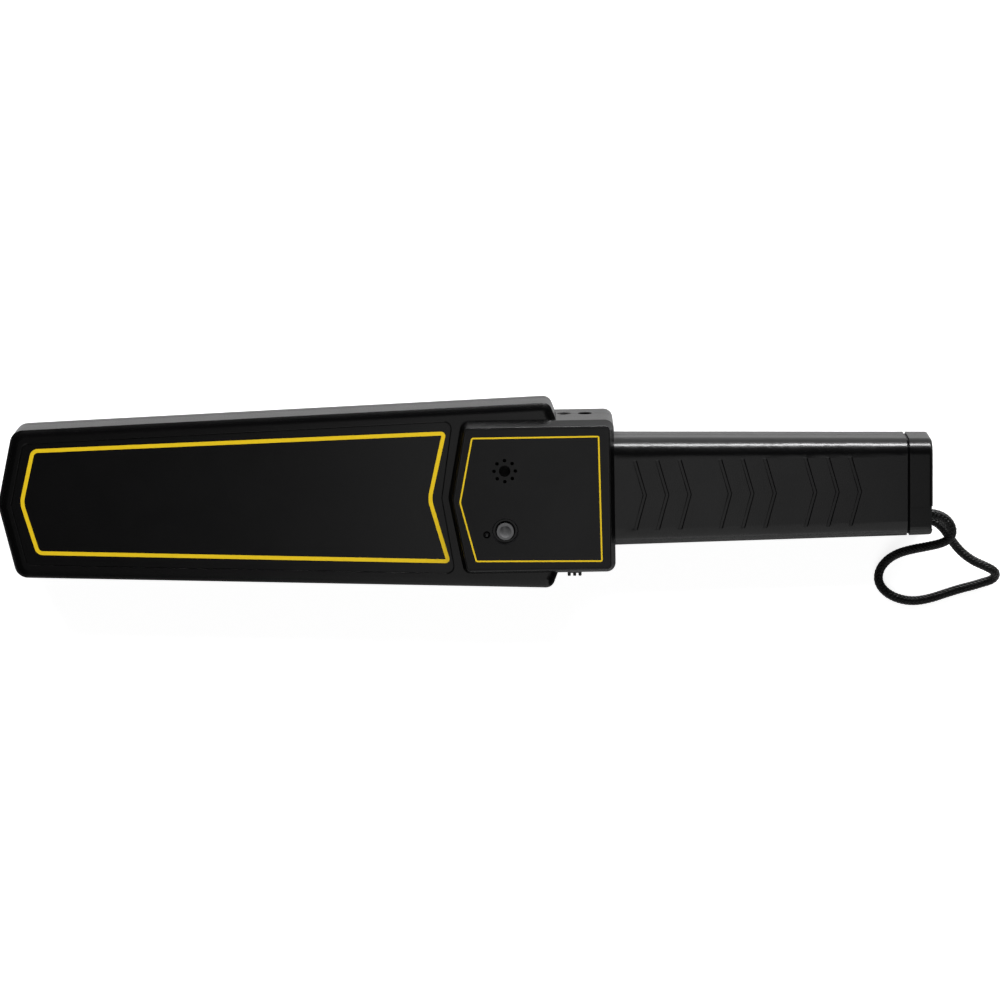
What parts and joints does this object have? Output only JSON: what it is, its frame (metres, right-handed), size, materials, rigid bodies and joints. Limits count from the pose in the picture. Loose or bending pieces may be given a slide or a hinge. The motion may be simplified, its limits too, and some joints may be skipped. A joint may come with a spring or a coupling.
{
  "type": "security metal detector wand",
  "caption": "Hand-held wand with a tapered search paddle, a raised control block with button, switch and sockets, and a grip with a wrist strap.",
  "frame": {"origin": "under the middle of the wand, on the surface that it lies on, the strap left out", "axes": "+X from the paddle's tip to the end cap, +Y towards the sockets' side wall, +Z out of the front face"},
  "size_m": [0.4422, 0.0989, 0.0402],
  "materials": {
    "shell_black": "satin, finely grained",
    "label_print": "satin film with a yellow outline",
    "cap_black": "satin",
    "button_grey": "satin",
    "knob_black": "satin",
    "strap_braid": "braided nylon",
    "lamp_lens": "clear tinted resin",
    "foam_grey": "open foam",
    "former_natural": "matt",
    "copper_wire": "enamelled wire",
    "board_green": "solder resist",
    "chip_black": "moulded",
    "capacitor_can": "sleeved can",
    "resistor_body": "lacquered",
    "screw_steel": "zinc plated",
    "speaker_steel": "pressed steel",
    "screen_cloth": "woven",
    "switch_metal": "folded sheet",
    "tact_black": "moulded",
    "plunger_natural": "moulded",
    "socket_black": "moulded",
    "trimmer_blue": "moulded",
    "rotor_white": "moulded",
    "motor_steel": "drawn can",
    "weight_steel": "sintered",
    "battery_wrap": "printed wrap",
    "lead_red": "insulated wire",
    "lead_black": "insulated wire"
  },
  "bodies": {
    "housing": {"front_shell": "shell_black", "rear_shell": "shell_black", "paddle_label": "label_print", "control_label": "label_print", "rear_foam": "foam_grey", "front_foam": "foam_grey", "coil_former": "former_natural", "search_coil": "copper_wire", "housing_screws": "screw_steel", "board_screws": "screw_steel", "main_board": "board_green", "board_chips": "chip_black", "board_capacitors": "capacitor_can", "board_resistors": "resistor_body", "speaker_screen": "screen_cloth", "speaker": "speaker_steel", "tact_switch": "tact_black", "indicator_lamp": "lamp_lens", "power_switch": "switch_metal", "earphone_socket": "socket_black", "charge_socket": "socket_black", "trimmer_body": "trimmer_blue", "vibration_motor": "motor_steel", "battery": "battery_wrap", "battery_snap": "tact_black", "battery_pad": "foam_grey", "coil_lead": "lead_black", "speaker_lead": "lead_black", "motor_lead": "lead_red", "battery_lead": "lead_red"},
    "power_knob": {"switch_knob": "knob_black"},
    "button": {"push_button": "button_grey", "tact_plunger": "plunger_natural"},
    "cap": {"end_cap": "cap_black", "strap_knot": "strap_braid", "wrist_strap": "strap_braid"},
    "sensitivity_rotor": {"trimmer_rotor": "rotor_white"},
    "spinning_weight": {"motor_weight": "weight_steel"}
  },
  "joints": [
    {"name": "power_switch_slide", "type": "slide", "parent": "housing", "child": "power_knob", "axis": [1, 0, 0], "range_m": [-0.002, 0.002]},
    {"name": "button_press", "type": "slide", "parent": "housing", "child": "button", "axis": [0, 0, -1], "range_m": [0, 0.0008], "stiffness_N_per_m": 800, "springref_m": -0.0004},
    {"name": "cap_pull", "type": "slide", "parent": "housing", "child": "cap", "axis": [1, 0, 0], "range_m": [0, 0.03]},
    {"name": "trimmer_turn", "type": "hinge", "parent": "housing", "child": "sensitivity_rotor", "pos_m": [0.027, -0.008, 0.018], "axis": [0, 0, 1], "range_deg": [-135, 135]},
    {"name": "motor_spin", "type": "hinge", "parent": "housing", "child": "spinning_weight", "pos_m": [0.09315, 0, 0.0155], "axis": [1, 0, 0], "continuous": true}
  ]
}
